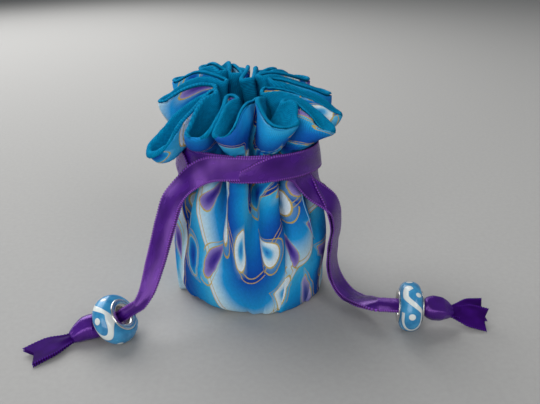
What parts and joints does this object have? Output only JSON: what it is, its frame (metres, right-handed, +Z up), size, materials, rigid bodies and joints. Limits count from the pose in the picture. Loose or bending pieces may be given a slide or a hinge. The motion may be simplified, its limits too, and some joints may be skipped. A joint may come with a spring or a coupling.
{
  "type": "drawstring jewelry pouch",
  "caption": "Small round cloth pouch with a plain lining, gathered shut at the neck by satin ribbon drawstrings that end in sliding glass beads and knots.",
  "frame": {"origin": "middle of the flat base, on the table", "axes": "+Z up through the mouth, -Y towards the pictured front, +X towards the right bead as seen from the front"},
  "size_m": [0.1228, 0.063, 0.0629],
  "materials": {
    "printed_cotton": "matt printed cotton in blues, white and purple with fine gold outlines",
    "teal_cotton": "matt plain cotton",
    "purple_satin": "satin with looped edges",
    "blue_glass": "glossy opaque glass with white scrolls",
    "silver_metal": "polished"
  },
  "bodies": {
    "pouch": {"outer_cloth": "printed_cotton", "lining_cloth": "teal_cotton", "left_drawstring": "purple_satin", "right_drawstring": "purple_satin"},
    "left_core": {"left_bead_core": "silver_metal"},
    "left_glass": {"left_bead_glass": "blue_glass"},
    "right_core": {"right_bead_core": "silver_metal"},
    "right_glass": {"right_bead_glass": "blue_glass"}
  },
  "joints": [
    {"name": "left_bead_slide", "type": "slide", "parent": "pouch", "child": "left_core", "axis": [0.7877, -0.136, 0.6008], "range_m": [0, 0.005]},
    {"name": "left_bead_spin", "type": "hinge", "parent": "left_core", "child": "left_glass", "pos_m": [-0.0342, -0.0282, 0.00596], "axis": [0.7877, -0.136, 0.6008], "continuous": true},
    {"name": "right_bead_slide", "type": "slide", "parent": "pouch", "child": "right_core", "axis": [-0.995, 0.1, 0], "range_m": [0, 0.005]},
    {"name": "right_bead_spin", "type": "hinge", "parent": "right_core", "child": "right_glass", "pos_m": [0.0429, -0.0233, 0.0066], "axis": [-0.995, 0.1, 0], "continuous": true}
  ]
}
